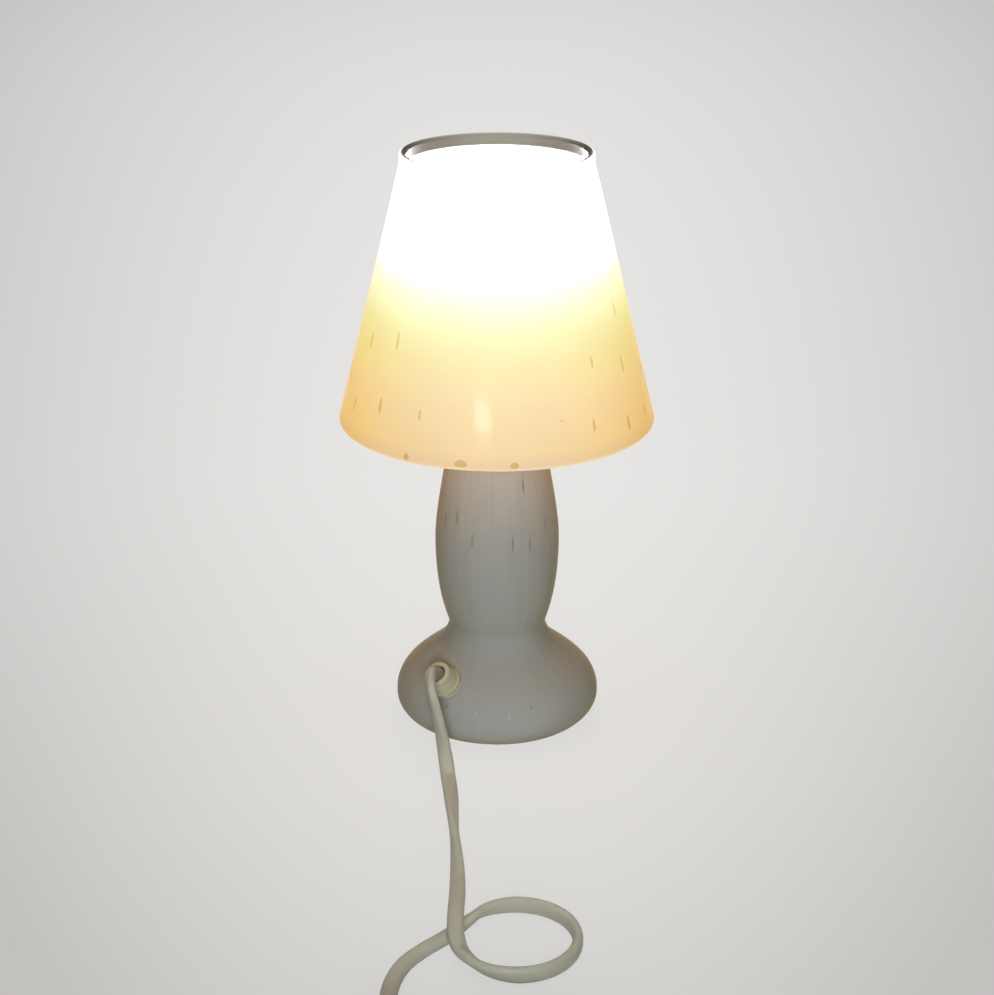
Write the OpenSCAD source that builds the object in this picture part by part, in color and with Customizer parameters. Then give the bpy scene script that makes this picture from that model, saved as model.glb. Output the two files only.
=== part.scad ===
// Table lamp with a conical opal glass shade on a waisted glass base, with its cord, switch and plug.
// Millimetres, +Z up. The origin is the centre of the base on the table, and the lamp's front faces -Y.

/* [Shade] */
// Diameter that the shade's outer cone has at the lower rim's plane
shade_low_d = 151; // [140:1:165]
// Outside diameter of the shade at the top of its opal part
shade_top_d = 89.5; // [80:0.5:100]
// Height of the shade's opal part
shade_h = 122; // [116:1:140]
// Thickness of the shade's glass
shade_wall = 3; // [2.4:0.1:4]
// Height of the clear glass band round the shade's top
clear_rim_h = 6; // [4:0.5:9]
// How far the shade's lower rim hangs below the top of the base's neck
shade_hang = 5; // [2:0.5:9]

/* [Base glass] */
// Height of the base from the table to the top of its neck
base_h = 160; // [152:1:172]
// Outside diameter of the neck's top
neck_d = 40; // [38:0.5:44]
// Largest outside diameter of the column
column_d = 60.4; // [54:0.2:66]
// Height of the column's widest place
column_z = 93; // [86:1:100]
// Outside diameter of the waist between column and foot
waist_d = 47.8; // [44:0.2:52]
// Height of the waist
waist_z = 50; // [47:0.5:53]
// Largest outside diameter of the foot
foot_d = 100.6; // [96:0.2:110]
// Height of the foot's widest place
foot_z = 11; // [9:0.5:13]
// Outside diameter of the ring that the base stands on
stand_d = 82; // [78:1:86]
// Thickness of the base's glass
base_wall = 3; // [2.4:0.1:3.6]
// Height of the underside's raised middle above the table
kick_z = 13; // [12:0.5:15]

/* [Base curves] */
// Radius that the neck gains for each millimetre down
neck_taper = 0.177; // [0.15:0.001:0.2]
// Reach of the neck's straight taper
neck_reach = 35; // [28:1:42]
// Reach of the upright stretch above the column's widest place
belly_rise = 14; // [10:1:20]
// Reach of the upright stretch below the column's widest place
belly_fall = 18; // [14:1:22]
// Lean of the column's wall where it runs into the waist
waist_lean = 0.35; // [0.25:0.01:0.45]
// Reach of that lean above the waist
waist_reach = 12; // [9:0.5:14]
// Depth of the crease at the waist
crease = 2; // [1:0.25:3]
// Distance that the flare under the waist goes outwards
flare_out = 6.1; // [5:0.1:7]
// Distance that the flare under the waist goes down
flare_drop = 12.7; // [11.5:0.1:14]
// Slope of the foot's shoulder below the horizontal, in degrees
shoulder_slope = 38.4; // [35:0.2:42]
// Reach of the straight shoulder
shoulder_reach = 16; // [13:0.5:18]
// Reach of the upright stretch above the foot's widest place
foot_rise = 11; // [8:0.5:13]

/* [Fixings] */
// Outside diameter of the hollow threaded tube
tube_d = 10; // [9.6:0.1:10.4]
// Bore of the hollow threaded tube
tube_bore = 8; // [7.8:0.1:8.4]
// Width across flats of the tube's nuts
nut_flats = 15; // [14:0.5:17]
// Height of the nut under the base
bottom_nut_h = 4; // [3:0.5:4.5]
// Height of the nut on the neck
neck_nut_h = 3; // [2.5:0.5:5]
// Thickness of the steel washer under the base
washer_t = 1.5; // [1:0.1:2]
// Thickness of the rubber washers
gasket_t = 1.5; // [1:0.1:2]
// Thickness of the felt ring under the base
felt_t = 1.5; // [1:0.1:2]
// Thickness of the neck cap's metal
cap_t = 2; // [1.5:0.1:2.5]
// Depth of the neck cap's skirt and spigot
cap_skirt = 6; // [4:0.5:8]
// Thickness of the shade carrier's arms
arm_t = 1.5; // [1.2:0.1:2]
// Width of the shade carrier's arms
arm_w = 9; // [7:0.5:11]
// Height of the shade carrier's upturned ends
arm_rise = 16; // [13:1:20]
// Thickness of the rubber sleeves on the arms
tip_t = 1.5; // [1:0.1:2]
// Length of the rubber sleeves on the arms
tip_h = 9; // [7:0.5:11]

/* [Lampholder and bulb] */
// Outside diameter of the lampholder
holder_d = 27; // [26:0.5:30]
// Height of the lampholder's lower cap
holder_cap_h = 16; // [15:0.5:18]
// Height of the lampholder's body
holder_body_h = 32; // [30:0.5:34]
// Thickness of the lampholder's walls
holder_wall = 1.6; // [1.2:0.1:2]
// Outside diameter of the bulb's threaded shell
screw_d = 13.9; // [13.6:0.1:14.2]
// Diameter of the bulb's globe
bulb_d = 45; // [40:0.5:50]
// Length of the bulb from tip to crown
bulb_l = 78; // [76:0.5:82]

/* [Cord] */
// Width of the flat cord
cord_w = 7; // [6.8:0.1:7.1]
// Thickness of the flat cord
cord_t = 4.3; // [4:0.1:4.4]
// Outside diameter of the cord bush's flange
bush_d = 16; // [15:0.5:17]
// How far the cord bush stands out of the glass
bush_out = 12; // [10:0.5:13]
// Place of the cord bush along the foot's shoulder, as a share of its curve
bush_place = 0.32; // [0.28:0.01:0.36]
// Direction of the cord bush, in degrees from +X
bush_turn = -127; // [-131:1:-123]
// Radius of the coil's outermost turn
coil_r = 42; // [41.5:0.1:42.3]
// Distance between neighbouring turns of the coil
coil_pitch = 6.2; // [6:0.1:6.4]
// Turns in each of the coil's two layers
coil_turns = 2.75; // [2.75]

/* [Switch and plug] */
// Length of the switch in the cord
switch_l = 62; // [60:0.5:64]
// Width of the switch
switch_w = 26; // [25:0.5:28]
// Height of the switch
switch_h = 19; // [18:0.5:21]
// Height of the joint between the switch's two shells
switch_split = 8; // [7.5:0.5:8.5]
// Wall of the switch's shells
switch_wall = 2; // [1.6:0.1:2.4]
// Length of the switch's rocker
rocker_l = 18; // [16:0.5:20]
// Width of the switch's rocker
rocker_w = 8.4; // [7.5:0.1:9.5]
// Diameter of the rocker's pivot
pivot_d = 3; // [2.6:0.1:3.4]
// Tilt of the rocker from the middle to each end, in degrees
rocker_tilt = 7; // [5:0.5:8]
// Length of the plug's body
plug_l = 36; // [34:0.5:38]
// Width of the plug's body
plug_w = 35; // [33:0.5:37]
// Thickness of the plug's body
plug_t = 13.6; // [13:0.2:14]
// Diameter of the plug's pins
pin_d = 4; // [3.8:0.1:4.2]
// Length of the plug's pins outside its body
pin_l = 19; // [17:0.5:20]
// Distance between the plug's pins
pin_gap = 19; // [18:0.5:20]

/* [Hidden] */
$fn = 96;
// Colours of the pieces
opal = "#c9c6bd";
felt_grey = "#4a4a48";
zinc = "#b9b9b4";
rubber_black = "#2b2b2b";
brass = "#c8b27a";
rubber_cream = "#e6dfc8";
ivory = "#e9e2cc";
ceramic_white = "#f2efe6";
bare_brass = "#c8a64e";
bulb_white = "#fff6dc";
nickel = "#c9c9c4";
bead_black = "#23211f";
lit_opal = "#ffe9b8";
smoky = "#b3ada0";
cream = "#d9d2b4";
cord_cream = "#d8d2bc";
tie_white = "#f0ede4";
switch_cream = "#ded8c4";
rocker_white = "#f1eee4";
plug_cream = "#e4dfd0";
pin_nickel = "#cfcfca";
// Play of a fastener on its thread, of a piece that turns, and between separate curved faces
thread_play = 0.05;
turn_play = 0.08;
free_play = 0.3;

// Derived heights, from the table up
shade_z = base_h - shade_hang;
shade_top_z = shade_z + shade_h;
cap_z = base_h + gasket_t;
hub_z = cap_z + cap_t;
nut_z = hub_z + arm_t;
holder_z = nut_z + neck_nut_h;
body_z = holder_z + holder_cap_h;
holder_top = body_z + holder_body_h;

// The shade's wall leans inwards by this angle
shade_lean = atan((shade_low_d - shade_top_d) / 2 / shade_h);
function shade_r(z) = shade_low_d / 2 - (z - shade_z) * tan(shade_lean);
function shade_in_r(z) = shade_r(z) - shade_wall / cos(shade_lean);

function bezier_at(a, b, c, d, t) =
    let (s = 1 - t) s * s * s * a + 3 * s * s * t * b + 3 * s * t * t * c + t * t * t * d;
function bezier(a, b, c, d, n) = [for (i = [1:n]) bezier_at(a, b, c, d, i / n)];
function arc(centre, r, from, to, n) =
    [for (i = [0:n]) let (a = from + (to - from) * i / n) centre + r * [cos(a), sin(a)]];
function unit(v) = v / norm(v);
function reversed(list) = [for (i = [len(list) - 1:-1:0]) list[i]];

// Points moved to the right of their path by a distance, square to the path
function beside(path, distance) = [for (i = [0:len(path) - 1])
    let (
        into = unit(path[max(i, 1)] - path[max(i, 1) - 1]),
        out = unit(path[min(i, len(path) - 2) + 1] - path[min(i, len(path) - 2)]),
        way = unit(into + out),
        mitre = 1 / max(0.5, way * into)
    )
    path[i] + distance * mitre * [way.y, -way.x]];

// The base's outline, [radius, height], from the neck down and under the foot to the hole in the middle
neck_point = [neck_d / 2, base_h];
column_point = [column_d / 2, column_z];
waist_point = [waist_d / 2, waist_z];
flare_point = waist_point + [flare_out, -flare_drop];
foot_point = [foot_d / 2, foot_z];
stand_point = [stand_d / 2, felt_t];
shoulder_way = [cos(shoulder_slope), -sin(shoulder_slope)];
shoulder_end = flare_point + shoulder_reach * shoulder_way;
foot_top = foot_point + [0, foot_rise];
// Reach of a curve's handles that makes a quarter of an ellipse, nearly
quarter = 0.55;
foot_round = (foot_point.y - felt_t) * quarter;
crest = 6;
stand_w = 7;
kick_r = stand_d / 2 - stand_w;
seat_r = 15;
hole_room = 1.5;
hole_r = tube_d / 2 + hole_room;
base_outline = concat(
    [neck_point],
    bezier(neck_point, neck_point + neck_reach * [neck_taper, -1],
        column_point + [0, belly_rise], column_point, 14),
    bezier(column_point, column_point - [0, belly_fall],
        waist_point + waist_reach * [waist_lean, 1], waist_point, 14),
    bezier(waist_point, waist_point - crease * [waist_lean, 1],
        flare_point - crest * shoulder_way, flare_point, 10),
    bezier(flare_point, shoulder_end, foot_top, foot_point, 14),
    bezier(foot_point, foot_point - [0, foot_round], stand_point + [foot_round, 0], stand_point, 8),
    [[kick_r, felt_t], [seat_r, kick_z], [hole_r, kick_z]]
);
neck_in_r = neck_d / 2 - base_wall;
inner_outline = beside(base_outline, base_wall);
base_inside = concat([[neck_in_r, base_h]], [for (i = [1:len(inner_outline) - 1]) inner_outline[i]]);

// The cord bush stands square on the foot's shoulder
bush_seat = bezier_at(flare_point, shoulder_end, foot_top, foot_point, bush_place);
bush_step = bezier_at(flare_point, shoulder_end, foot_top, foot_point, bush_place + 0.01) - bush_seat;
bush_rise = atan2(bush_step.x, -bush_step.y);
bush_point = [bush_seat.x * cos(bush_turn), bush_seat.x * sin(bush_turn), bush_seat.y];
bush_way = [cos(bush_rise) * cos(bush_turn), cos(bush_rise) * sin(bush_turn), sin(bush_rise)];
bush_bore = cord_w + 1;
bush_shank_d = bush_bore + 3.4;
bush_nut_d = bush_d;
bush_nut_t = 3.5;
// A flat nut touches the hollow inside of the glass at its edges only
bush_nut_gap = bush_nut_d * bush_nut_d / 8 / (bush_seat.x - base_wall) * cos(bush_rise) + free_play;
bush_nut_z = -base_wall - bush_nut_gap;

// Sizes inside the lampholder
insert_top = body_z + 6;
contact_t = 0.6;
contact_rise = 1.9;
bulb_z = insert_top + contact_t + contact_rise + 0.1;
tip_len = 1.5;
insulator_h = 3.5;
shell_h = 19;
shell_top = bulb_z + tip_len + insulator_h + shell_h;
sleeve_r = screw_d / 2 + turn_play;
sleeve_t = 0.5;
post_r = sleeve_r + sleeve_t + thread_play;
holder_in_r = holder_d / 2 - holder_wall;

// Places of what lies on the table
coil_centre = [21, -316];
coil_low_z = cord_w / 2 + 1;
coil_layer = cord_w + 1;
coil_climb = 0.15;
coil_start = 270;
switch_place = [-42, -308];
plug_place = [6, -344];
plug_z = coil_low_z + coil_layer + cord_w / 2 + plug_t / 2 + 0.3;
lead_z = switch_split;

// Routes of the cord's free stretches: x, y, z and roll, with roll 0 where the cord lies flat
bend_depth = 4;
cord_bend = bush_point + (bush_out - bend_depth) * bush_way;
lead_route = [
    [bush_point.x, bush_point.y, bush_point.z, -80],
    [cord_bend.x, cord_bend.y, cord_bend.z, -80],
    [-29.4, -40.1, 38.2, -80],
    [-30.8, -44.8, 40.3, -82],
    [-31.4, -50, 40.6, -88],
    [-31.2, -55.1, 38.9, -96],
    [-30.2, -59.1, 35.5, -105],
    [-28.8, -61.5, 30.8, -110],
    [-27.1, -63.6, 23, -96],
    [-25.5, -66, 14.6, -64],
    [-24.6, -68.4, 9.7, -38],
    [-23.6, -72.8, 5.4, -12],
    [-22.9, -78.4, 3.2, 2],
    [-22, -86, 2.9, 14],
    [-21.1, -97, 3.1, 30],
    [-20, -115, 3.6, 62],
    [-17.8, -147, 3.7, 115],
    [-17, -164, 3.4, 142],
    [-16.8, -181, 5, 165],
    [-17, -194, 7.1, 177],
    [-17.1, -204.5, 7.9, 181],
    [-16.6, -214.5, 7.1, 186],
    [-13.6, -224, 5.4, 205],
    [-4.5, -233.2, 4.2, 238],
    [8, -236.5, 3.7, 266],
    [20.5, -233.2, 3.7, 270],
    [29.6, -224, 3.7, 270],
    [33, -211.5, 3.7, 270],
    [29.6, -199, 3.7, 270],
    [20.5, -189.9, 3.7, 270],
    [8, -186.5, 3.7, 272],
    [-4.5, -189.9, 3.6, 295],
    [-13.2, -198.5, 2.8, 338],
    [-21, -208.5, 2.4, 357],
    [-29.6, -217.5, 2.4, 360],
    [-36.6, -227, 2.6, 360],
    [-40.6, -238.5, 3.4, 360],
    [-42, -251.5, 5.6, 360],
    [switch_place.x, switch_place.y + switch_l / 2 + 12, lead_z, 360],
    [switch_place.x, switch_place.y + switch_l / 2, lead_z, 360]
];
link_route = [
    [switch_place.x, switch_place.y - switch_l / 2, lead_z, 0],
    [switch_place.x, switch_place.y - switch_l / 2 - 3, lead_z, 3],
    [-40.8, -348.1, 7.2, 18],
    [-37.3, -353.3, 6.4, 40],
    [-32.1, -356.8, 5.6, 62],
    [-26, -358, 5, 80],
    [-8, -358, coil_low_z, 90],
    [coil_centre.x - cord_w, coil_centre.y - coil_r, coil_low_z, 90]
];
tail_route = [
    [coil_centre.x - cord_w, coil_centre.y + coil_r, coil_low_z + coil_layer, 90],
    [4, -275.2, 13.5, 90],
    [-4, -279, 15.6, 90],
    [-10.5, -284.8, 18.1, 90],
    [-15, -292, 19.9, 90],
    [-17.5, -300.5, 20.3, 90],
    [-18.2, -310, 20.3, 90],
    [-18, -319, 20.6, 88],
    [-17.6, -327, 21.1, 82],
    [-15.6, -334, 21.7, 68],
    [-11.5, -339.6, 22.4, 46],
    [-6, -343, 22.9, 22],
    [0, -344, plug_z, 5],
    [plug_place.x, plug_place.y, plug_z, 0]
];
inner_route = [
    [bush_seat.x, bush_seat.y],
    bush_seat - 11 * [cos(bush_rise), sin(bush_rise)],
    [27, 16],
    [20, 18],
    [14, 27],
    [10.2, 41],
    [6.2, 58],
    [2.2, 74],
    [0, 90],
    [0, 130],
    [0, holder_z + 9]
];
slot_low = 46;
slot_high = 88;

// Shapes that repeat

module ring(outer_r, inner_r, z, h) {
    translate([0, 0, z]) difference() {
        cylinder(r = outer_r, h = h);
        translate([0, 0, -1]) cylinder(r = inner_r, h = h + 2);
    }
}

module hex_nut(z, h) {
    translate([0, 0, z]) difference() {
        cylinder(d = nut_flats / cos(30), h = h, $fn = 6);
        translate([0, 0, -1]) cylinder(r = tube_d / 2 + thread_play, h = h + 2);
    }
}

module revolve(points) {
    rotate_extrude() polygon(points);
}

module rounded_plate(w, l, r, h) {
    linear_extrude(h) polygon(concat(
        arc([w / 2 - r, l / 2 - r], r, 0, 90, 8),
        arc([r - w / 2, l / 2 - r], r, 90, 180, 8),
        arc([r - w / 2, r - l / 2], r, 180, 270, 8),
        arc([w / 2 - r, r - l / 2], r, 270, 360, 8)
    ));
}

module at_bush() {
    translate(bush_point) rotate([0, 90 - bush_rise, bush_turn]) children();
}

module at_switch() {
    translate([switch_place.x, switch_place.y, 0]) children();
}

module at_plug() {
    translate([plug_place.x, plug_place.y, plug_z]) children();
}

function xyz(p) = [p[0], p[1], p[2]];
function tangent(path, i) =
    let (last = len(path) - 1)
    i == 0 ? unit(xyz(path[1] - path[0]))
    : i == last ? unit(xyz(path[last] - path[last - 1]))
    : unit(unit(xyz(path[i + 1] - path[i])) + unit(xyz(path[i] - path[i - 1])));

// Sides of the cord's section, along its free stretches and in the coil
cord_sides = 8;
coil_sides = 6;
// One corner of the flat cord's section at one point of its path
function corner(path, i, side, angle) =
    let (
        way = tangent(path, i),
        flat_side = norm(cross(way, [0, 0, 1])) > 0.01 ? unit(cross(way, [0, 0, 1])) : side,
        up = cross(flat_side, way),
        roll = path[i][3],
        wide = flat_side * cos(roll) + up * sin(roll),
        thin = up * cos(roll) - flat_side * sin(roll)
    )
    xyz(path[i]) + wide * cord_w / 2 * cos(angle) + thin * cord_t / 2 * sin(angle);

// The flat cord swept along a path of points [x, y, z, roll], as one closed skin of triangles
module flat_cord(path, sides, side = [0, -1, 0]) {
    rings = len(path);
    points = [for (i = [0:rings - 1], k = [0:sides - 1]) corner(path, i, side, 360 * k / sides)];
    walls = [for (i = [0:rings - 2], k = [0:sides - 1])
        let (a = i * sides + k, b = i * sides + (k + 1) % sides)
        each [[a, a + sides, b], [b, a + sides, b + sides]]];
    first_cap = [for (k = [1:sides - 2]) [0, k, k + 1]];
    end = (rings - 1) * sides;
    last_cap = [for (k = [1:sides - 2]) [end, end + k + 1, end + k]];
    polyhedron(points = points, faces = concat(walls, first_cap, last_cap), convexity = 10);
}

// Radius and height of the coil's line after a number of turns: inwards below, outwards above
function coil_line_r(turn) = coil_r - coil_pitch * (coil_turns - abs(turn - coil_turns));
function coil_line_z(turn) =
    let (s = min(1, max(0, (turn - coil_turns + coil_climb) / (2 * coil_climb))))
    coil_low_z + coil_layer * s * s * (3 - 2 * s);
function coil_point(turn) =
    let (a = coil_start + 360 * turn, r = coil_line_r(turn))
    [coil_centre.x + r * cos(a), coil_centre.y + r * sin(a), coil_line_z(turn), 90];
rings_a_turn = 24;
coil_steps = rings_a_turn * 2 * coil_turns;
coil_path = concat(
    [[coil_centre.x - cord_w, coil_centre.y - coil_r, coil_low_z, 90]],
    [for (i = [0:coil_steps]) coil_point(i / rings_a_turn)],
    [[coil_centre.x - cord_w, coil_centre.y + coil_r, coil_low_z + coil_layer, 90]]
);
// Least gap between two turns at the same angle, from the upright sections of the flat cord
coil_gaps = [for (i = [0:coil_steps], k = [1:2 * coil_turns]) let (turn = i / rings_a_turn)
    if (turn + k <= 2 * coil_turns)
    max(abs(coil_line_r(turn + k) - coil_line_r(turn)) - cord_t,
        abs(coil_line_z(turn + k) - coil_line_z(turn)) - cord_w)];
echo(least_gap_of_the_coil = min(coil_gaps));
function sum(list, i = 0) = i == len(list) ? 0 : list[i] + sum(list, i + 1);
function route_length(path) = sum([for (i = [1:len(path) - 1]) norm(xyz(path[i]) - xyz(path[i - 1]))]);
echo(lead_length = route_length(lead_route));
echo(link_length = route_length(link_route));
echo(coil_length = route_length(coil_path));
echo(tail_length = route_length(tail_route));

// The base and what clamps it

module base_glass() {
    color(opal) difference() {
        revolve(concat(base_outline, reversed(base_inside)));
        at_bush() translate([0, 0, -3 * base_wall])
            cylinder(d = bush_shank_d + 2 * free_play, h = 6 * base_wall);
    }
}

module base_felt() {
    color(felt_grey) ring(stand_d / 2 - 0.5, kick_r + 0.5, 0, felt_t);
}

module stem_tube() {
    low = kick_z - gasket_t - washer_t - bottom_nut_h - 1;
    high = holder_z + 7;
    color(zinc) difference() {
        translate([0, 0, low]) cylinder(d = tube_d, h = high - low);
        translate([0, 0, low - 1]) cylinder(d = tube_bore, h = high - low + 2);
        rotate([0, 0, bush_turn]) translate([0, -cord_w / 2 - free_play, slot_low])
            cube([tube_d, cord_w + 2 * free_play, slot_high - slot_low]);
    }
}

module bottom_gasket() {
    color(rubber_black) ring(seat_r - 1, tube_d / 2 + thread_play, kick_z - gasket_t, gasket_t);
}

module bottom_washer() {
    color(zinc) ring(seat_r - 2, tube_d / 2 + thread_play, kick_z - gasket_t - washer_t, washer_t);
}

module bottom_nut() {
    color(brass) hex_nut(kick_z - gasket_t - washer_t - bottom_nut_h, bottom_nut_h);
}

module neck_gasket() {
    color(rubber_black) ring(neck_d / 2, neck_in_r + free_play, base_h, gasket_t);
}

module neck_cap() {
    spigot_r = neck_in_r - free_play;
    skirt_r = neck_d / 2 + free_play + cap_skirt * neck_taper;
    low = cap_z - cap_skirt;
    color(brass) revolve([
        [tube_d / 2 + thread_play, hub_z], [tube_d / 2 + thread_play, cap_z],
        [spigot_r - cap_t, cap_z], [spigot_r - cap_t, low], [spigot_r, low], [spigot_r, cap_z],
        [skirt_r, cap_z], [skirt_r, low], [skirt_r + cap_t, low], [skirt_r + cap_t, hub_z - cap_t / 2],
        [skirt_r + cap_t / 2, hub_z]
    ]);
}

module neck_nut() {
    color(brass) hex_nut(nut_z, neck_nut_h);
}

// The carrier's arms end beside the shade's inner wall, with a rubber sleeve between
tip_edge = (arm_w + 2 * tip_t) / 2;
tip_room = tip_edge * tip_edge / shade_in_r(hub_z + arm_rise) / 2 + free_play;
function arm_r(z) = shade_in_r(z) - (tip_room + tip_t) / cos(shade_lean);
arm_flat = arm_t / cos(shade_lean);
arm_top = hub_z + arm_rise;
bend = 3;
arm_side = [
    [10, hub_z], [arm_r(hub_z) - bend, hub_z], [arm_r(hub_z + bend), hub_z + bend], [arm_r(arm_top), arm_top],
    [arm_r(arm_top) - arm_flat, arm_top], [arm_r(hub_z + bend) - arm_flat, hub_z + bend + arm_t / 3],
    [arm_r(hub_z) - bend - arm_t / 3, hub_z + arm_t], [10, hub_z + arm_t]
];

module arm_slice(width, points) {
    translate([0, width / 2, 0]) rotate([90, 0, 0]) linear_extrude(width) polygon(points);
}

module at_arms() {
    for (turn = [90:120:330]) rotate([0, 0, turn]) children();
}

module shade_carrier() {
    color(brass) union() {
        ring(13, tube_d / 2 + thread_play, hub_z, arm_t);
        at_arms() arm_slice(arm_w, arm_side);
    }
}

module carrier_tips() {
    low = arm_top - tip_h;
    high = arm_top + tip_t;
    color(rubber_cream) at_arms() difference() {
        arm_slice(2 * tip_edge, [
            [arm_r(low) + tip_t, low], [arm_r(high) + tip_t, high],
            [arm_r(high) - arm_flat - tip_t, high], [arm_r(low) - arm_flat - tip_t, low]
        ]);
        arm_slice(arm_w, arm_side);
    }
}

// The lampholder

module holder_cap() {
    r = holder_d / 2;
    in_r = r - holder_wall;
    boss_wall = 3;
    boss_r = tube_d / 2 + boss_wall;
    boss_h = 7;
    dome_z = holder_z + 10;
    floor_z = holder_z + 2 * holder_wall;
    color(ivory) revolve(concat(
        [[tube_d / 2 + thread_play, holder_z], [boss_r, holder_z]],
        bezier([boss_r, holder_z], [boss_r + boss_wall, holder_z], [r, floor_z], [r, dome_z], 8),
        [[r, body_z], [in_r, body_z], [in_r, dome_z]],
        bezier([in_r, dome_z], [in_r, floor_z + holder_wall],
            [boss_r + holder_wall, floor_z], [boss_r, floor_z], 8),
        [[boss_r, holder_z + boss_h], [tube_d / 2 + thread_play, holder_z + boss_h]]
    ));
}

module holder_body() {
    r = holder_d / 2;
    bead = 0.8;
    color(ivory) revolve([
        [holder_in_r, body_z], [r, body_z], [r, holder_top - 5 * bead], [r + bead, holder_top - 4 * bead],
        [r + bead, holder_top - bead], [r, holder_top], [holder_in_r, holder_top]
    ]);
}

// Screws of the ceramic insert, and the distance of its post and shell below the holder's mouth
holder_screw_x = 9.4;
holder_screw_d = 3;
holder_head_d = 5;
holder_head_h = 1.8;
mouth_depth = 6;
post_wall = 1.6;

module at_holder_screws() {
    for (side = [-1, 1]) translate([side * holder_screw_x, 0, 0]) children();
}

module holder_insert() {
    through = insert_top - body_z + 2;
    color(ceramic_white) difference() {
        union() {
            translate([0, 0, body_z]) cylinder(r = holder_in_r - thread_play, h = insert_top - body_z);
            ring(post_r + post_wall, post_r, insert_top, holder_top - insert_top - mouth_depth);
        }
        at_holder_screws() translate([0, 0, body_z - 1])
            cylinder(d = holder_screw_d + 2 * thread_play, h = through);
        translate([0, 0, body_z - 1]) cylinder(d = holder_screw_d, h = through);
    }
}

module holder_shell() {
    low = insert_top + contact_t + contact_rise;
    color(bare_brass) ring(sleeve_r + sleeve_t, sleeve_r, low, holder_top - low - mouth_depth);
}

module holder_contact() {
    top = insert_top + contact_t + contact_rise;
    foot_x = -6;
    strip_w = 5;
    color(bare_brass) translate([0, strip_w / 2, 0]) rotate([90, 0, 0]) linear_extrude(strip_w) polygon([
        [foot_x, insert_top], [foot_x / 2, insert_top], [-1.6, top - contact_t], [1.6, top - contact_t],
        [2.4, insert_top + 1], [3, insert_top + 1.2], [2, top], [-2, top],
        [foot_x / 2 - 0.4, insert_top + contact_t], [foot_x, insert_top + contact_t]
    ]);
}

module holder_screws() {
    head_z = body_z - 2.2 - holder_head_h;
    color(zinc) at_holder_screws() union() {
        translate([0, 0, head_z + holder_head_h]) cylinder(d = holder_screw_d, h = insert_top - body_z + 2);
        translate([0, 0, head_z]) cylinder(d = holder_head_d, h = holder_head_h);
    }
}

// The bulb

module bulb_globe() {
    r = bulb_d / 2;
    centre = bulb_z + bulb_l - r;
    wall = 0.8;
    neck_r = screw_d / 2 + 1;
    neck_h = 4;
    step = 6;
    join = asin((neck_r + 3) / r);
    join_point = [r * sin(join), centre - r * cos(join)];
    join_inside = [(r - wall) * sin(join), centre - (r - wall) * cos(join)];
    neck_handle = join_point - 3 * [cos(join), sin(join)];
    color(bulb_white) revolve(concat(
        [[0, shell_top], [neck_r, shell_top]],
        bezier([neck_r, shell_top], [neck_r, shell_top + neck_h], neck_handle, join_point, 8),
        [for (a = [join + step:step:180 - step]) [r * sin(a), centre - r * cos(a)]],
        [[0, centre + r], [0, centre + r - wall]],
        [for (a = [180 - step:-step:join + step]) [(r - wall) * sin(a), centre - (r - wall) * cos(a)]],
        bezier(join_inside, neck_handle - [wall, 0], [neck_r - wall, shell_top + neck_h],
            [neck_r - wall, shell_top + 1], 8),
        [[0, shell_top + 1]]
    ));
}

module bulb_shell() {
    low = bulb_z + tip_len + insulator_h;
    r = screw_d / 2;
    metal = 0.4;
    chamfer = 1;
    lip = 1.6;
    color(nickel) revolve([
        [0, low + chamfer], [0, low], [r - 0.6, low], [r, low + chamfer], [r, shell_top - 4],
        [r + lip, shell_top - 1.5], [r + lip, shell_top + 1.5],
        [r + 1 + thread_play, shell_top + 1.5], [r + 1 + thread_play, shell_top],
        [r - metal, shell_top - chamfer], [r - metal, low + chamfer]
    ]);
}

module bulb_insulator() {
    low = bulb_z + tip_len;
    color(bead_black) translate([0, 0, low]) cylinder(r1 = 3.2, r2 = screw_d / 2 - 0.8, h = insulator_h);
}

module bulb_tip() {
    color(zinc) translate([0, 0, bulb_z]) cylinder(r1 = 2, r2 = 2.6, h = tip_len);
}

// The shade

module shade_glass() {
    half = shade_wall / 2;
    low_middle = [(shade_r(shade_z + half) + shade_in_r(shade_z + half)) / 2, shade_z + half];
    color(lit_opal) revolve(concat(
        [[shade_r(shade_top_z), shade_top_z]],
        reversed(arc(low_middle, half, shade_lean - 180, shade_lean, 10)),
        [[shade_in_r(shade_top_z), shade_top_z]]
    ));
}

module shade_clear_rim() {
    outer = shade_r(shade_top_z);
    inner = shade_in_r(shade_top_z);
    round_r = (outer - inner) / 2;
    middle = [(outer + inner) / 2, shade_top_z + clear_rim_h - round_r];
    color(smoky) revolve(concat(
        [[inner, shade_top_z], [outer, shade_top_z]],
        arc(middle, round_r, 0, 180, 12)
    ));
}

// The cord's way out of the base

module bush_gasket() {
    color(rubber_cream) difference() {
        at_bush() translate([0, 0, -2.5]) difference() {
            cylinder(d = bush_d - 1, h = 2.5 + gasket_t);
            translate([0, 0, -1]) cylinder(d = bush_shank_d + 2 * thread_play, h = 5 + gasket_t);
        }
        revolve(concat(base_outline, [[0, kick_z], [0, base_h]]));
        at_bush() translate([0, 0, -5]) cylinder(d = bush_shank_d + 4 * free_play, h = 4.9);
    }
}

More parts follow.
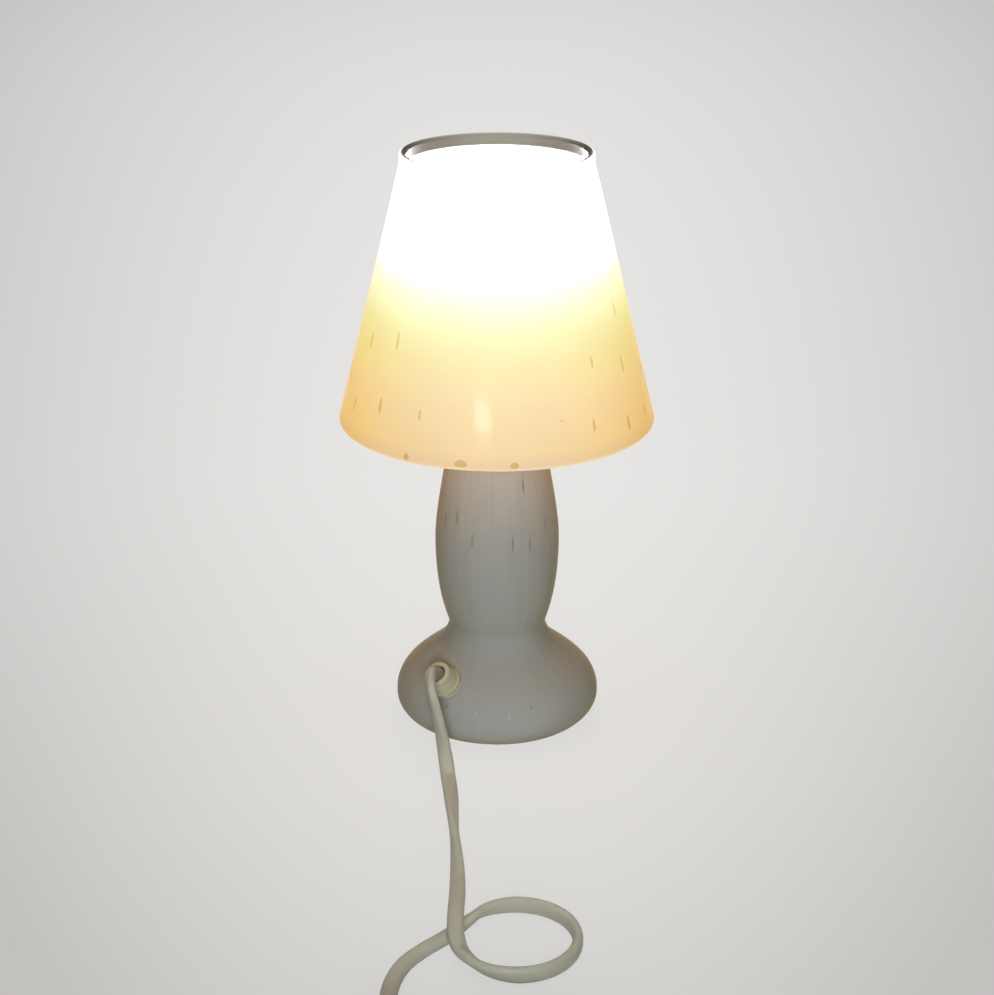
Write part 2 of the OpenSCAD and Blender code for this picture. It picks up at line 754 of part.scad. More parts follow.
module cord_bush() {
    bore_r = bush_bore / 2;
    lip_w = 2.5;
    edge_r = 1.2;
    lip_r = 1;
    low = bush_nut_z - bush_nut_t - 1.5;
    color(cream) at_bush() rotate_extrude() polygon(concat(
        [[bore_r, low], [bush_shank_d / 2, low], [bush_shank_d / 2, gasket_t], [bush_d / 2, gasket_t],
            [bush_d / 2, gasket_t + 1.6]],
        arc([bush_d / 2 - 0.8, gasket_t + 1.6], 0.8, 0, 70, 4),
        [[bore_r + lip_w, bush_out - 2.6]],
        arc([bore_r + lip_w - edge_r, bush_out - edge_r], edge_r, 10, 90, 6),
        arc([bore_r + lip_r, bush_out - lip_r], lip_r, 90, 180, 6)
    ));
}

module bush_nut() {
    color(cream) at_bush() translate([0, 0, bush_nut_z - bush_nut_t]) difference() {
        cylinder(d = bush_nut_d, h = bush_nut_t, $fn = 8);
        translate([0, 0, -1]) cylinder(r = bush_shank_d / 2 + thread_play, h = bush_nut_t + 2);
    }
}

// The cord inside the base, from the bush into the tube and up to the lampholder
inner_path = [for (p = inner_route)
    [p[0] * cos(bush_turn), p[0] * sin(bush_turn), p[1], 0]];

module inner_lead() {
    color(cord_cream) flat_cord(inner_path, cord_sides, [sin(bush_turn), -cos(bush_turn), 0]);
}

// The cord on the table

module cord_lead() {
    color(cord_cream) flat_cord(lead_route, cord_sides);
}

module cord_link() {
    color(cord_cream) flat_cord(link_route, cord_sides);
}

module cord_coil() {
    color(cord_cream) flat_cord(coil_path, coil_sides);
}

module cord_tail() {
    color(cord_cream) flat_cord(tail_route, cord_sides);
}

module cord_tie() {
    strap = 0.8;
    strap_w = 5;
    gap = 0.2;
    near = coil_line_r(2.25) - cord_t / 2 - gap;
    far = coil_line_r(0.25) + cord_t / 2 + gap;
    low = coil_low_z - cord_w / 2 - gap;
    high = coil_low_z + coil_layer + cord_w / 2 + gap;
    color(tie_white) translate([coil_centre.x, coil_centre.y + strap_w / 2, 0]) rotate([90, 0, 0])
        linear_extrude(strap_w) difference() {
            translate([near - strap, low - strap]) square([far - near + 2 * strap, high - low + 2 * strap]);
            translate([near, low]) square([far - near, high - low]);
        }
}

// The switch in the cord
switch_corner = 8;
cavity_top = switch_split + 3.5;
pivot_z = switch_h - 3.8;
slot_half = rocker_l / 2 + 1;
cavity_l = switch_l - 2 * switch_corner;
cavity_w = switch_w - 2 * switch_wall;
boss_y = switch_l / 2 - 5.5;
switch_screw_d = 3;
switch_head_d = 5.2;

module at_switch_screws() {
    at_switch() for (side = [-1, 1]) translate([side * switch_w / 4, side * boss_y, 0]) children();
}

module switch_base() {
    color(switch_cream) difference() {
        at_switch() rounded_plate(switch_w, switch_l, switch_corner, switch_split);
        at_switch() translate([-cavity_w / 2, -cavity_l / 2, switch_wall])
            cube([cavity_w, cavity_l, switch_split]);
        at_switch_screws() translate([0, 0, -1]) {
            cylinder(d = switch_screw_d + 2 * thread_play, h = switch_split + 2);
            cylinder(d = switch_head_d + 0.4, h = 3);
        }
    }
}

module switch_cover() {
    crown_r = 30;
    trunnion = 2.6;
    color(switch_cream) difference() {
        at_switch() intersection() {
            translate([0, 0, switch_split])
                rounded_plate(switch_w, switch_l, switch_corner, switch_h - switch_split);
            translate([0, switch_l, switch_h - crown_r]) rotate([90, 0, 0])
                cylinder(r = crown_r, h = 2 * switch_l);
        }
        at_switch() translate([-cavity_w / 2, -cavity_l / 2, switch_split - 1])
            cube([cavity_w, cavity_l, cavity_top - switch_split + 1]);
        at_switch() translate([-rocker_w / 2 - free_play, -slot_half, cavity_top - 1])
            cube([rocker_w + 2 * free_play, 2 * slot_half, switch_h]);
        at_switch() translate([-rocker_w / 2 - trunnion, 0, pivot_z]) rotate([0, 90, 0])
            cylinder(r = pivot_d / 2 + turn_play, h = rocker_w + 2 * trunnion);
        at_switch_screws() translate([0, 0, switch_split - 1])
            cylinder(d = switch_screw_d + 2 * thread_play, h = 6);
    }
}

module switch_rocker() {
    half = rocker_l / 2;
    color(rocker_white) at_switch() translate([0, 0, pivot_z]) rotate([rocker_tilt, 0, 0]) union() {
        translate([-rocker_w / 2, 0, 0]) rotate([90, 0, 90]) linear_extrude(rocker_w) polygon(concat(
            [[half, 4.4], [0, 2.6], [-half, 4.4], [-half, 0.8]],
            arc([0, 0], 3.6, 230, 310, 6),
            [[half, 0.8]]
        ));
        translate([-rocker_w / 2 - 2.2, 0, 0]) rotate([0, 90, 0]) cylinder(d = pivot_d, h = rocker_w + 4.4);
    }
}

module switch_terminals() {
    block = [8, 7, switch_split - switch_wall];
    strip = [3, 10, 1];
    color(bare_brass) at_switch() for (side = [-1, 1])
        translate([0, side * (cavity_l / 2 - 5), switch_wall]) union() {
            translate([-block.x / 2, -block.y / 2, 0]) cube(block);
            translate([-strip.x / 2, side > 0 ? -strip.y - 3 : 3, 0]) cube(strip);
        }
}

module switch_screws() {
    head_z = 0.5;
    head_h = 1.5;
    color(zinc) at_switch_screws() union() {
        translate([0, 0, head_z]) cylinder(d = switch_head_d, h = head_h);
        translate([0, 0, head_z + head_h / 2]) cylinder(d = switch_screw_d, h = switch_split + 3);
    }
}

// The plug on the cord's end
pin_root_l = 12;
pin_root_d = pin_d - 0.8;

module plug_body() {
    tail_w = cord_w + 4;
    color(plug_cream) at_plug() difference() {
        intersection() {
            translate([0, 0, -plug_t / 2]) linear_extrude(plug_t) polygon([
                [0, -tail_w / 2], [10, -tail_w / 2 - 1], [22, -plug_w / 2], [plug_l, -plug_w / 2],
                [plug_l, plug_w / 2], [22, plug_w / 2], [10, tail_w / 2 + 1], [0, tail_w / 2]
            ]);
            rotate([90, 0, 90]) rounded_plate(plug_w, plug_t, 4.5, plug_l);
        }
        for (side = [-1, 1]) translate([plug_l - pin_root_l, side * pin_gap / 2, 0]) rotate([0, 90, 0])
            cylinder(d = pin_root_d + 2 * thread_play, h = pin_root_l + 1);
    }
}

module plug_pins() {
    point = 1;
    color(pin_nickel) at_plug() for (side = [-1, 1])
        translate([plug_l, side * pin_gap / 2, 0]) rotate([0, 90, 0]) union() {
            translate([0, 0, -pin_root_l]) cylinder(d = pin_root_d, h = pin_root_l + point);
            cylinder(d = pin_d, h = pin_l - point);
            translate([0, 0, pin_l - point]) cylinder(d1 = pin_d, d2 = pin_d - 1.6, h = point);
        }
}

base_glass();
base_felt();
stem_tube();
bottom_gasket();
bottom_washer();
bottom_nut();
neck_gasket();
neck_cap();
neck_nut();
shade_carrier();
carrier_tips();
holder_cap();
holder_body();
holder_insert();
holder_shell();
holder_contact();
holder_screws();
bulb_globe();
bulb_shell();
bulb_insulator();
bulb_tip();
shade_glass();
shade_clear_rim();
cord_bush();
bush_gasket();
bush_nut();
inner_lead();
cord_lead();
cord_link();
cord_coil();
cord_tie();
cord_tail();
switch_base();
switch_cover();
switch_rocker();
switch_terminals();
switch_screws();
plug_body();
plug_pins();
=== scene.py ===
"""Looks of the glass table lamp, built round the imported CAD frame. Metres, the frame's own axes."""

import math
import random

import bpy
import numpy as np
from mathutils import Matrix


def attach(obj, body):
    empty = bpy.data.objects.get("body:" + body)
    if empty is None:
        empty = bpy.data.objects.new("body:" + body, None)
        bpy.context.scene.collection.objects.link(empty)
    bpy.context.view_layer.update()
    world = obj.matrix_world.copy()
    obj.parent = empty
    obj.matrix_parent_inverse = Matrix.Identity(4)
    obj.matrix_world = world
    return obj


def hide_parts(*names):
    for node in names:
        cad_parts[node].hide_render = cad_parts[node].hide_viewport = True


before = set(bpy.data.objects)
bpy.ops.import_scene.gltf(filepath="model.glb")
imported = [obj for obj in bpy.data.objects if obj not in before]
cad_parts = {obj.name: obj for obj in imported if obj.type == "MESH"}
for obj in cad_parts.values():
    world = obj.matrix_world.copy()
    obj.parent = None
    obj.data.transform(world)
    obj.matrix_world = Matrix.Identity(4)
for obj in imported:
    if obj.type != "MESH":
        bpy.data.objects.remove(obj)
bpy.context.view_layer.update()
scene = bpy.context.scene
MM = 0.001

# Camera: the photograph's frame is 994 x 995, and its focal length is 2000 pixels

FOCAL_PX = 2000.0
LONG_SIDE_PX = 995.0
SENSOR = 36.0
CLIP_NEAR = 0.01
CLIP_FAR = 50.0
CAMERA_PLACE = (0.0, -0.9034, 0.4704)
CAMERA_PITCH = 21.558


def make_camera():
    data = bpy.data.cameras.new("photo_camera")
    data.sensor_width = SENSOR
    data.lens = SENSOR * FOCAL_PX / LONG_SIDE_PX
    data.clip_start = CLIP_NEAR
    data.clip_end = CLIP_FAR
    camera = bpy.data.objects.new("photo_camera", data)
    camera.location = CAMERA_PLACE
    camera.rotation_euler = (math.radians(90 - CAMERA_PITCH), 0, 0)
    scene.collection.objects.link(camera)
    scene.camera = camera


make_camera()

# Meshes: every shape below is in millimetres and becomes metres here


def mesh_object(name, verts, faces, sharp=40.0):
    """A smooth-shaded object from vertices in millimetres; edges over the sharp angle stay crisp."""
    mesh = bpy.data.meshes.new(name)
    mesh.from_pydata([tuple(MM * float(x) for x in v) for v in verts], [], faces)
    mesh.validate()
    mesh.shade_smooth()
    mesh.set_sharp_from_angle(angle=math.radians(sharp))
    obj = bpy.data.objects.new(name, mesh)
    scene.collection.objects.link(obj)
    return obj


def unit(v):
    return v / np.linalg.norm(v)


# Cord: the routes of the CAD model, x, y, z in millimetres and the section's roll in degrees

CORD_W = 7.0
CORD_T = 4.3
CORD_CORNER = 2.7
CORD_SIDES = 24
ROUTE_STEPS = 10
# A path whose level part is smaller than this counts as upright
UPRIGHT = 0.01
BUSH_POINT = (-24.486, -32.494, 28.675)
CORD_BEND = (-27.587, -36.609, 34.813)
BUSH_MOUTH = (-29.137, -38.666, 37.882)
BUSH_TURN = -127.0
BUSH_SEAT_R = 40.687
LEAD_Z = 8.0
SWITCH_EXIT = (-42.0, -339.0, LEAD_Z)
COIL_CENTRE = (21.0, -316.0)
COIL_R = 42.0
COIL_PITCH = 6.2
COIL_TURNS = 2.75
COIL_LOW_Z = 4.5
COIL_LAYER = 8.0
COIL_CLIMB = 0.15
COIL_START = 270.0
COIL_STEPS = 48
FLAT_ON_EDGE = 90.0
PLUG_PLACE = (6.0, -344.0, 23.1)

LEAD_ROUTE = [
    (*BUSH_POINT, -80), (*CORD_BEND, -80), (-29.4, -40.1, 38.2, -80), (-30.8, -44.8, 40.3, -82),
    (-31.4, -50, 40.6, -88), (-31.2, -55.1, 38.9, -96), (-30.2, -59.1, 35.5, -105),
    (-28.8, -61.5, 30.8, -110), (-27.1, -63.6, 23, -96), (-25.5, -66, 14.6, -64), (-24.6, -68.4, 9.7, -38),
    (-23.6, -72.8, 5.4, -12), (-22.9, -78.4, 3.2, 2), (-22, -86, 2.9, 14), (-21.1, -97, 3.1, 30),
    (-20, -115, 3.6, 62), (-17.8, -147, 3.7, 115), (-17, -164, 3.4, 142), (-16.8, -181, 5, 165),
    (-17, -194, 7.1, 177), (-17.1, -204.5, 7.9, 181), (-16.6, -214.5, 7.1, 186), (-13.6, -224, 5.4, 205),
    (-4.5, -233.2, 4.2, 238), (8, -236.5, 3.7, 266), (20.5, -233.2, 3.7, 270), (29.6, -224, 3.7, 270),
    (33, -211.5, 3.7, 270), (29.6, -199, 3.7, 270), (20.5, -189.9, 3.7, 270), (8, -186.5, 3.7, 272),
    (-4.5, -189.9, 3.6, 295), (-13.2, -198.5, 2.8, 338), (-21, -208.5, 2.4, 357), (-29.6, -217.5, 2.4, 360),
    (-36.6, -227, 2.6, 360), (-40.6, -238.5, 3.4, 360), (-42, -251.5, 5.6, 360), (-42, -265, LEAD_Z, 360),
    (-42, -277, LEAD_Z, 360),
]
LINK_ROUTE = [
    (*SWITCH_EXIT, 0), (-42, -342, LEAD_Z, 3), (-40.8, -348.1, 7.2, 18), (-37.3, -353.3, 6.4, 40),
    (-32.1, -356.8, 5.6, 62), (-26, -358, 5, 80), (-8, -358, 4.5, 90), (14, -358, 4.5, 90),
]
TAIL_ROUTE = [
    (14, -274, 12.5, 90), (4, -275.2, 13.5, 90), (-4, -279, 15.6, 90), (-10.5, -284.8, 18.1, 90),
    (-15, -292, 19.9, 90), (-17.5, -300.5, 20.3, 90), (-18.2, -310, 20.3, 90), (-18, -319, 20.6, 88),
    (-17.6, -327, 21.1, 82), (-15.6, -334, 21.7, 68), (-11.5, -339.6, 22.4, 46), (-6, -343, 22.9, 22),
    (0, -344, 23.1, 5), (*PLUG_PLACE, 0),
]
# Radius and height of the cord inside the base, in the upright plane through the bush
INNER_ROUTE = [
    (BUSH_SEAT_R, 28.675), (33.624, 20.236), (27, 16), (20, 18), (14, 27), (10.2, 41), (6.2, 58), (2.2, 74),
    (0, 90), (0, 130), (0, 177),
]


def spline(route, steps):
    """A smooth curve through the route's points, with the given number of steps between two points."""
    p = np.array(route, float)
    last = len(p) - 1
    out = []
    for i in range(last):
        a, b, c, d = p[max(i - 1, 0)], p[i], p[i + 1], p[min(i + 2, last)]
        for k in range(steps):
            t = k / steps
            out.append(0.5 * (2 * b + (c - a) * t + (2 * a - 5 * b + 4 * c - d) * t * t
                              + (3 * b - 3 * c + d - a) * t ** 3))
    out.append(p[last])
    return np.array(out)


def coil_point(turn):
    """A point of the tied coil: the turns wind inwards, climb to a second layer and wind out again."""
    angle = math.radians(COIL_START + 360 * turn)
    r = COIL_R - COIL_PITCH * (COIL_TURNS - abs(turn - COIL_TURNS))
    s = min(1.0, max(0.0, (turn - COIL_TURNS + COIL_CLIMB) / (2 * COIL_CLIMB)))
    z = COIL_LOW_Z + COIL_LAYER * s * s * (3 - 2 * s)
    return (COIL_CENTRE[0] + r * math.cos(angle), COIL_CENTRE[1] + r * math.sin(angle), z, FLAT_ON_EDGE)


def superellipse(width, thickness, power, sides):
    """A flat oval section, with fuller corners than an ellipse."""
    out = []
    for k in range(sides):
        a = 2 * math.pi * k / sides
        c, s = math.cos(a), math.sin(a)
        out.append((width / 2 * math.copysign(abs(c) ** (2 / power), c),
                    thickness / 2 * math.copysign(abs(s) ** (2 / power), s)))
    return out


def sweep(name, path, section, side=(0.0, -1.0, 0.0)):
    """A section carried along a path of x, y, z, roll, closed at both ends; side serves an upright path."""
    verts, faces = [], []
    n, last = len(section), len(path) - 1
    for i, p in enumerate(path):
        ahead = path[min(i + 1, last), :3] - path[min(i, last - 1), :3]
        behind = path[max(i, 1), :3] - path[max(i, 1) - 1, :3]
        way = unit(unit(ahead) + unit(behind))
        flat = np.cross(way, (0, 0, 1))
        flat = unit(flat) if np.linalg.norm(flat) > UPRIGHT else np.array(side)
        up = np.cross(flat, way)
        roll = math.radians(p[3])
        wide = flat * math.cos(roll) + up * math.sin(roll)
        thin = up * math.cos(roll) - flat * math.sin(roll)
        verts += [p[:3] + wide * u + thin * v for u, v in section]
    for i in range(last):
        for k in range(n):
            a, b = i * n + k, i * n + (k + 1) % n
            faces.append((a, a + n, b + n, b))
    faces.append(tuple(range(n)))
    faces.append(tuple(last * n + k for k in reversed(range(n))))
    return mesh_object(name, verts, faces)


CORD_SECTION = superellipse(CORD_W, CORD_T, CORD_CORNER, CORD_SIDES)
lead_path = spline(LEAD_ROUTE, ROUTE_STEPS)
coil_count = int(2 * COIL_TURNS * COIL_STEPS) + 1
coil_path = np.array([coil_point(i / COIL_STEPS) for i in range(coil_count)])
far_path = np.vstack([spline(LINK_ROUTE, ROUTE_STEPS), coil_path, spline(TAIL_ROUTE, ROUTE_STEPS)])
turn_x = math.cos(math.radians(BUSH_TURN))
turn_y = math.sin(math.radians(BUSH_TURN))
inner_path = np.array([(r * turn_x, r * turn_y, z, 0) for r, z in spline(INNER_ROUTE, ROUTE_STEPS)])

cord_near = sweep("cord_near", lead_path, CORD_SECTION)
cord_far = sweep("cord_far", far_path, CORD_SECTION)
cord_inner = sweep("cord_inner", inner_path, CORD_SECTION, side=(turn_y, -turn_x, 0.0))
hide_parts("cord_lead")
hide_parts("cord_link", "cord_coil", "cord_tail")
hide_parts("inner_lead")
for cord in (cord_near, cord_far, cord_inner):
    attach(cord, "lamp")

# Glass: the profiles of the CAD model, radius and height in millimetres

SHADE_Z = 155.0
SHADE_TOP_Z = 277.0
SHADE_LOW_R = 75.5
SHADE_TOP_R = 44.75
SHADE_WALL = 3.0
SHADE_EDGE_H = 3.0
SHADE_ROWS = 48
SHADE_SEGMENTS = 224
SHADE_SHARP = 60.0
EDGE_STEPS = 14
RIM_H = 6.0
RIM_STEPS = 16
BASE_WALL = 3.0
BASE_SEGMENTS = 192
CURVE_STEPS = 26
NECK_TOP = (20.0, 160.0)
COLUMN = (30.2, 93.0)
WAIST = (23.9, 50.0)
FLARE = (30.0, 37.3)
FOOT = (50.3, 11.0)
STAND = (41.0, 1.5)
UNDERSIDE = [(34.0, 1.5), (15.0, 13.0), (6.5, 13.0)]
BASE_CURVES = [
    (NECK_TOP, (26.195, 125), (30.2, 107), COLUMN),
    (COLUMN, (30.2, 75), (28.1, 62), WAIST),
    (WAIST, (23.2, 48), (25.298, 41.027), FLARE),
    (FLARE, (42.539, 27.362), (50.3, 22), FOOT),
    (FOOT, (50.3, 5.775), (46.225, 1.5), STAND),
]
SHADE_SLOPE = (SHADE_LOW_R - SHADE_TOP_R) / (SHADE_TOP_Z - SHADE_Z)
SHADE_LEAN = math.atan(SHADE_SLOPE)
SHADE_FLAT_WALL = SHADE_WALL / math.cos(SHADE_LEAN)
# Waves of hand-blown glass: size in millimetres, count round the wall, lean with height, shift
BLOWN_WAVES = [(0.10, 3, 0.031, 0.0), (0.06, 5, -0.05, 1.3), (0.025, 31, 0.02, 0.0), (0.02, 47, -0.03, 0.7)]


def bezier(a, b, c, d, steps):
    """Points of a cubic curve, without its first one."""
    a, b, c, d = (np.array(p, float) for p in (a, b, c, d))
    out = []
    for t in np.linspace(0, 1, steps + 1)[1:]:
        s = 1 - t
        out.append(s ** 3 * a + 3 * s * s * t * b + 3 * s * t * t * c + t ** 3 * d)
    return out


def arc(centre, r, start, end, steps):
    """Points of an arc between two angles in degrees."""
    angles = np.radians(np.linspace(start, end, steps + 1))
    return [np.array((centre[0] + r * math.cos(a), centre[1] + r * math.sin(a))) for a in angles]


def beside(path, distance):
    """The path moved to its right by a distance, square to itself."""
    out = []
    last = len(path) - 1
    for i, p in enumerate(path):
        into = unit(path[max(i, 1)] - path[max(i, 1) - 1])
        away = unit(path[min(i, last - 1) + 1] - path[min(i, last - 1)])
        way = unit(into + away)
        out.append(p + distance / max(0.5, way @ into) * np.array((way[1], -way[0])))
    return out


def shade_r(z):
    """The shade's outer radius at a height."""
    return SHADE_LOW_R - (z - SHADE_Z) * SHADE_SLOPE


def lathe(name, profile, segments, wave=None, sharp=40.0):
    """A closed profile of radius and height turned round the Z axis; wave(angle, height) moves the wall.
    The profile runs clockwise, down its outer side, so that the faces look outwards."""
    verts, faces = [], []
    n = len(profile)
    for k in range(segments):
        angle = 2 * math.pi * k / segments
        for r, z in profile:
            out = r + (wave(angle, z) if wave else 0.0)
            verts.append((out * math.cos(angle), out * math.sin(angle), z))
    for k in range(segments):
        for i in range(n):
            a, b = k * n + i, k * n + (i + 1) % n
            c, d = (k + 1) % segments * n + (i + 1) % n, (k + 1) % segments * n + i
            faces.append((a, b, c, d))
    return mesh_object(name, verts, faces, sharp)


def blown(angle, z):
    """The slight unevenness of glass that was blown and turned by hand."""
    return sum(size * math.sin(count * angle + lean * z + shift) for size, count, lean, shift in BLOWN_WAVES)


base_outline = [np.array(NECK_TOP)]
for curve in BASE_CURVES:
    base_outline += bezier(*curve, CURVE_STEPS)
outer_rows = list(base_outline)
base_outline += [np.array(p) for p in UNDERSIDE]
base_inside = beside(base_outline, BASE_WALL)
base_inside[0] = np.array((NECK_TOP[0] - BASE_WALL, NECK_TOP[1]))
base_rows = np.array(sorted((z, r) for r, z in outer_rows))


def base_r(z):
    """The base's outer radius at a height."""
    return float(np.interp(z, base_rows[:, 0], base_rows[:, 1]))


base_opal = lathe("base_opal", base_outline + base_inside[::-1], BASE_SEGMENTS, blown)

low_middle_z = SHADE_Z + SHADE_WALL / 2
low_middle = (shade_r(low_middle_z) - SHADE_FLAT_WALL / 2, low_middle_z)
lean_degrees = math.degrees(SHADE_LEAN)
shade_heights = np.linspace(SHADE_TOP_Z, SHADE_Z + SHADE_EDGE_H, SHADE_ROWS)
shade_profile = [np.array((shade_r(z), z)) for z in shade_heights]
shade_profile += arc(low_middle, SHADE_WALL / 2, lean_degrees, lean_degrees - 180, EDGE_STEPS)
inner_from = len(shade_profile) - 1
shade_profile += [np.array((shade_r(z) - SHADE_FLAT_WALL, z)) for z in shade_heights[::-1]]
shade_opal = lathe("shade_opal", shade_profile, SHADE_SEGMENTS, blown, SHADE_SHARP)

rim_in_r = SHADE_TOP_R - SHADE_FLAT_WALL
rim_round = SHADE_FLAT_WALL / 2
rim_profile = [np.array((SHADE_TOP_R, SHADE_TOP_Z)), np.array((rim_in_r, SHADE_TOP_Z))]
rim_middle = (rim_in_r + rim_round, SHADE_TOP_Z + RIM_H - rim_round)
rim_profile += arc(rim_middle, rim_round, 180, 0, RIM_STEPS)
shade_rim = lathe("shade_rim", rim_profile, SHADE_SEGMENTS, sharp=SHADE_SHARP)

# Dark sleeve in the bush's bore, a painted shade round the cord in the hole: radii, and depths below the
# mouth, in millimetres

SLEEVE_R = (3.62, 3.92)
SLEEVE_DEPTH = (1.2, 7.0)
SLEEVE_SEGMENTS = 48
bush_way = unit(np.array(BUSH_MOUTH) - np.array(BUSH_POINT))
bush_side = unit(np.cross((0, 0, 1), bush_way))
bush_turn = np.column_stack([bush_side, np.cross(bush_way, bush_side), bush_way])
sleeve_profile = [(SLEEVE_R[1], -SLEEVE_DEPTH[0]), (SLEEVE_R[1], -SLEEVE_DEPTH[1]),
                  (SLEEVE_R[0], -SLEEVE_DEPTH[1]), (SLEEVE_R[0], -SLEEVE_DEPTH[0])]
bush_shadow_sleeve = lathe("bush_shadow_sleeve", sleeve_profile, SLEEVE_SEGMENTS)
for vert in bush_shadow_sleeve.data.vertices:
    vert.co = bush_turn @ np.array(vert.co) + MM * np.array(BUSH_MOUTH)

# Drops in the glass, and painted glints: azimuth in degrees, height, width and length in millimetres, placed
# as in the photograph

SHADE_DROPS = [
    (-153.6, 202, 1.7, 8.5), (-135.3, 206.5, 1.4, 9), (-157, 171.5, 1.6, 8), (-139, 176.5, 2, 8),
    (-119.5, 177, 1.2, 6), (-27.5, 217, 1.5, 8.5), (-30.5, 192.5, 1.6, 9), (-34, 166.5, 2.4, 8),
    (-18.5, 166.5, 2, 7), (-52.5, 171, 1.6, 6.5), (-49, 198, 1.2, 6), (-123, 158, 3, 3.2),
    (-102.5, 158.4, 6.2, 3.6), (-84, 158, 4.2, 3), (-65.8, 175.5, 0.9, 1),
]
BASE_DROPS = [
    (-147.5, 108, 1.2, 12), (-132, 112, 1.1, 9), (-113.5, 102.5, 1.1, 11), (-75.5, 101, 1.1, 12),
    (-58.5, 99.5, 1, 11), (-38, 107.5, 1.2, 12), (-61.5, 128.5, 1, 9), (-120.5, 21, 1.6, 2.2),
    (-44.5, 22.5, 1.4, 2), (-69.5, 22, 1.2, 2.4),
]
# Painted highlights: lighter drops on the foot that stand in for glints of light
BASE_PAINTED_GLINTS = [(-102.5, 20, 1.0, 2.2), (-83, 18.7, 1.0, 2.4)]
# Azimuths that the photograph shows
FRONT = (-165.0, -15.0)
DROP_SIDES = 16
DROP_RINGS = (1.0, 0.82, 0.6, 0.32)
DROP_SINK = 0.05
DROP_TAPER = 0.3
DROP_ROUND = 0.8
DROP_SHARP = 80.0
SHADE_DROP_RISE = 0.22
BASE_DROP_RISE = 0.09


def drops(name, places, wall_r, rise):
    """Teardrop swellings that follow a turned wall, narrower at the top, as one mesh."""
    verts, faces = [], []
    for azimuth, z0, wide, tall in places:
        first = len(verts)

        def point(a, b):
            side = wide / 2 * a * (1 - DROP_TAPER * b)
            z = z0 + tall / 2 * b
            r = wall_r(z)
            angle = math.radians(azimuth) + side / r
            swell = rise * max(0.0, 1 - a * a - b * b) ** DROP_ROUND
            out = r + blown(angle, z) + swell - DROP_SINK
            return (out * math.cos(angle), out * math.sin(angle), z)

        for ring in DROP_RINGS:
            for k in range(DROP_SIDES):
                t = 2 * math.pi * k / DROP_SIDES
                verts.append(point(ring * math.cos(t), ring * math.sin(t)))
        verts.append(point(0, 0))
        top = len(verts) - 1
        for i in range(len(DROP_RINGS) - 1):
            for k in range(DROP_SIDES):
                a = first + i * DROP_SIDES + k
                b = first + i * DROP_SIDES + (k + 1) % DROP_SIDES
                faces.append((a, b, b + DROP_SIDES, a + DROP_SIDES))
        inner = first + (len(DROP_RINGS) - 1) * DROP_SIDES
        for k in range(DROP_SIDES):
            faces.append((inner + k, inner + (k + 1) % DROP_SIDES, top))
        faces.append(tuple(first + k for k in reversed(range(DROP_SIDES))))
    return mesh_object(name, verts, faces, DROP_SHARP)


def more_drops(seed, count, low, high, widths, lengths):
    """Drops on the sides that the photograph doesn't show, by a fixed seed."""
    rng = random.Random(seed)
    out = []
    while len(out) < count:
        azimuth = rng.uniform(-180, 180)
        place = (azimuth, rng.uniform(low, high), rng.uniform(*widths), rng.uniform(*lengths))
        if not FRONT[0] < azimuth < FRONT[1]:
            out.append(place)
    return out


far_shade_drops = more_drops(seed=4, count=16, low=166, high=220, widths=(1.2, 2.2), lengths=(6, 9))
far_base_drops = more_drops(seed=7, count=12, low=92, high=130, widths=(1.0, 1.3), lengths=(9, 12))
shade_drops = drops("shade_drops", SHADE_DROPS + far_shade_drops, shade_r, SHADE_DROP_RISE)
base_painted_glints = drops("base_painted_glints", BASE_PAINTED_GLINTS, base_r, BASE_DROP_RISE)
base_drops = drops("base_drops", BASE_DROPS + far_base_drops, base_r, BASE_DROP_RISE)

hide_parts("base_glass")
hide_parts("shade_glass")
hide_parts("shade_clear_rim")
for piece, body, slot in (
    (base_opal, "lamp", "opal_base_glass"), (base_drops, "lamp", "opal_base_glass"),
    (base_painted_glints, "lamp", "opal_base_glass"), (bush_shadow_sleeve, "lamp", "black_rubber"),
    (shade_opal, "shade", "lit_opal_glass"), (shade_drops, "shade", "lit_opal_glass"),
    (shade_rim, "shade", "smoky_clear_glass"),
):
    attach(piece, body)

# Materials: lengths in metres, and the Mix node's colour sockets by number

MIX_FIRST = 6
MIX_SECOND = 7
MIX_RESULT = 2
BEVEL_SAMPLES = 6


def add(mat, kind, inputs=None, **settings):
    """A node of that kind, with its settings, and its inputs set to values or linked to sockets."""
    n = mat.node_tree.nodes.new("ShaderNode" + kind)
    for name, value in settings.items():
        setattr(n, name, value)
    for name, value in (inputs or {}).items():
        feed(mat, n.inputs[name], value)
    return n


def feed(mat, socket, value):
    """Links the socket to another one, or sets it to a value."""
    if isinstance(value, bpy.types.NodeSocket):
        mat.node_tree.links.new(value, socket)
    else:
        socket.default_value = value


def principled(name, **inputs):
    """A new material and its shader; an input's name is written with _ for a space."""
    mat = bpy.data.materials.new(name)
    mat.use_nodes = True
    shader = mat.node_tree.nodes["Principled BSDF"]
    for key, value in inputs.items():
        feed(mat, shader.inputs[key.replace("_", " ")], value)
    return mat, shader


def rgba(colour):
    return (*colour, 1.0)


def place_axes(mat):
    """The object's own coordinates, whole and as x, y, z."""
    spot = add(mat, "TexCoord").outputs["Object"]
    axes = add(mat, "SeparateXYZ", {0: spot})
    return spot, axes.outputs["X"], axes.outputs["Y"], axes.outputs["Z"]


def around(mat, turns, rise):
    """Coordinates that run round the Z axis and up it, for streaks that follow a turned wall."""
    _, x, y, z = place_axes(mat)
    wide = calculate(mat, "MULTIPLY", calculate(mat, "ARCTAN2", y, x), turns)
    high = calculate(mat, "MULTIPLY", z, rise)
    return add(mat, "CombineXYZ", {"X": wide, "Y": high}).outputs[0]


def noise(mat, where, scale, detail=3.0, roughness=0.5):
    return add(mat, "TexNoise", {"Vector": where, "Scale": scale, "Detail": detail,
                                 "Roughness": roughness}).outputs["Fac"]


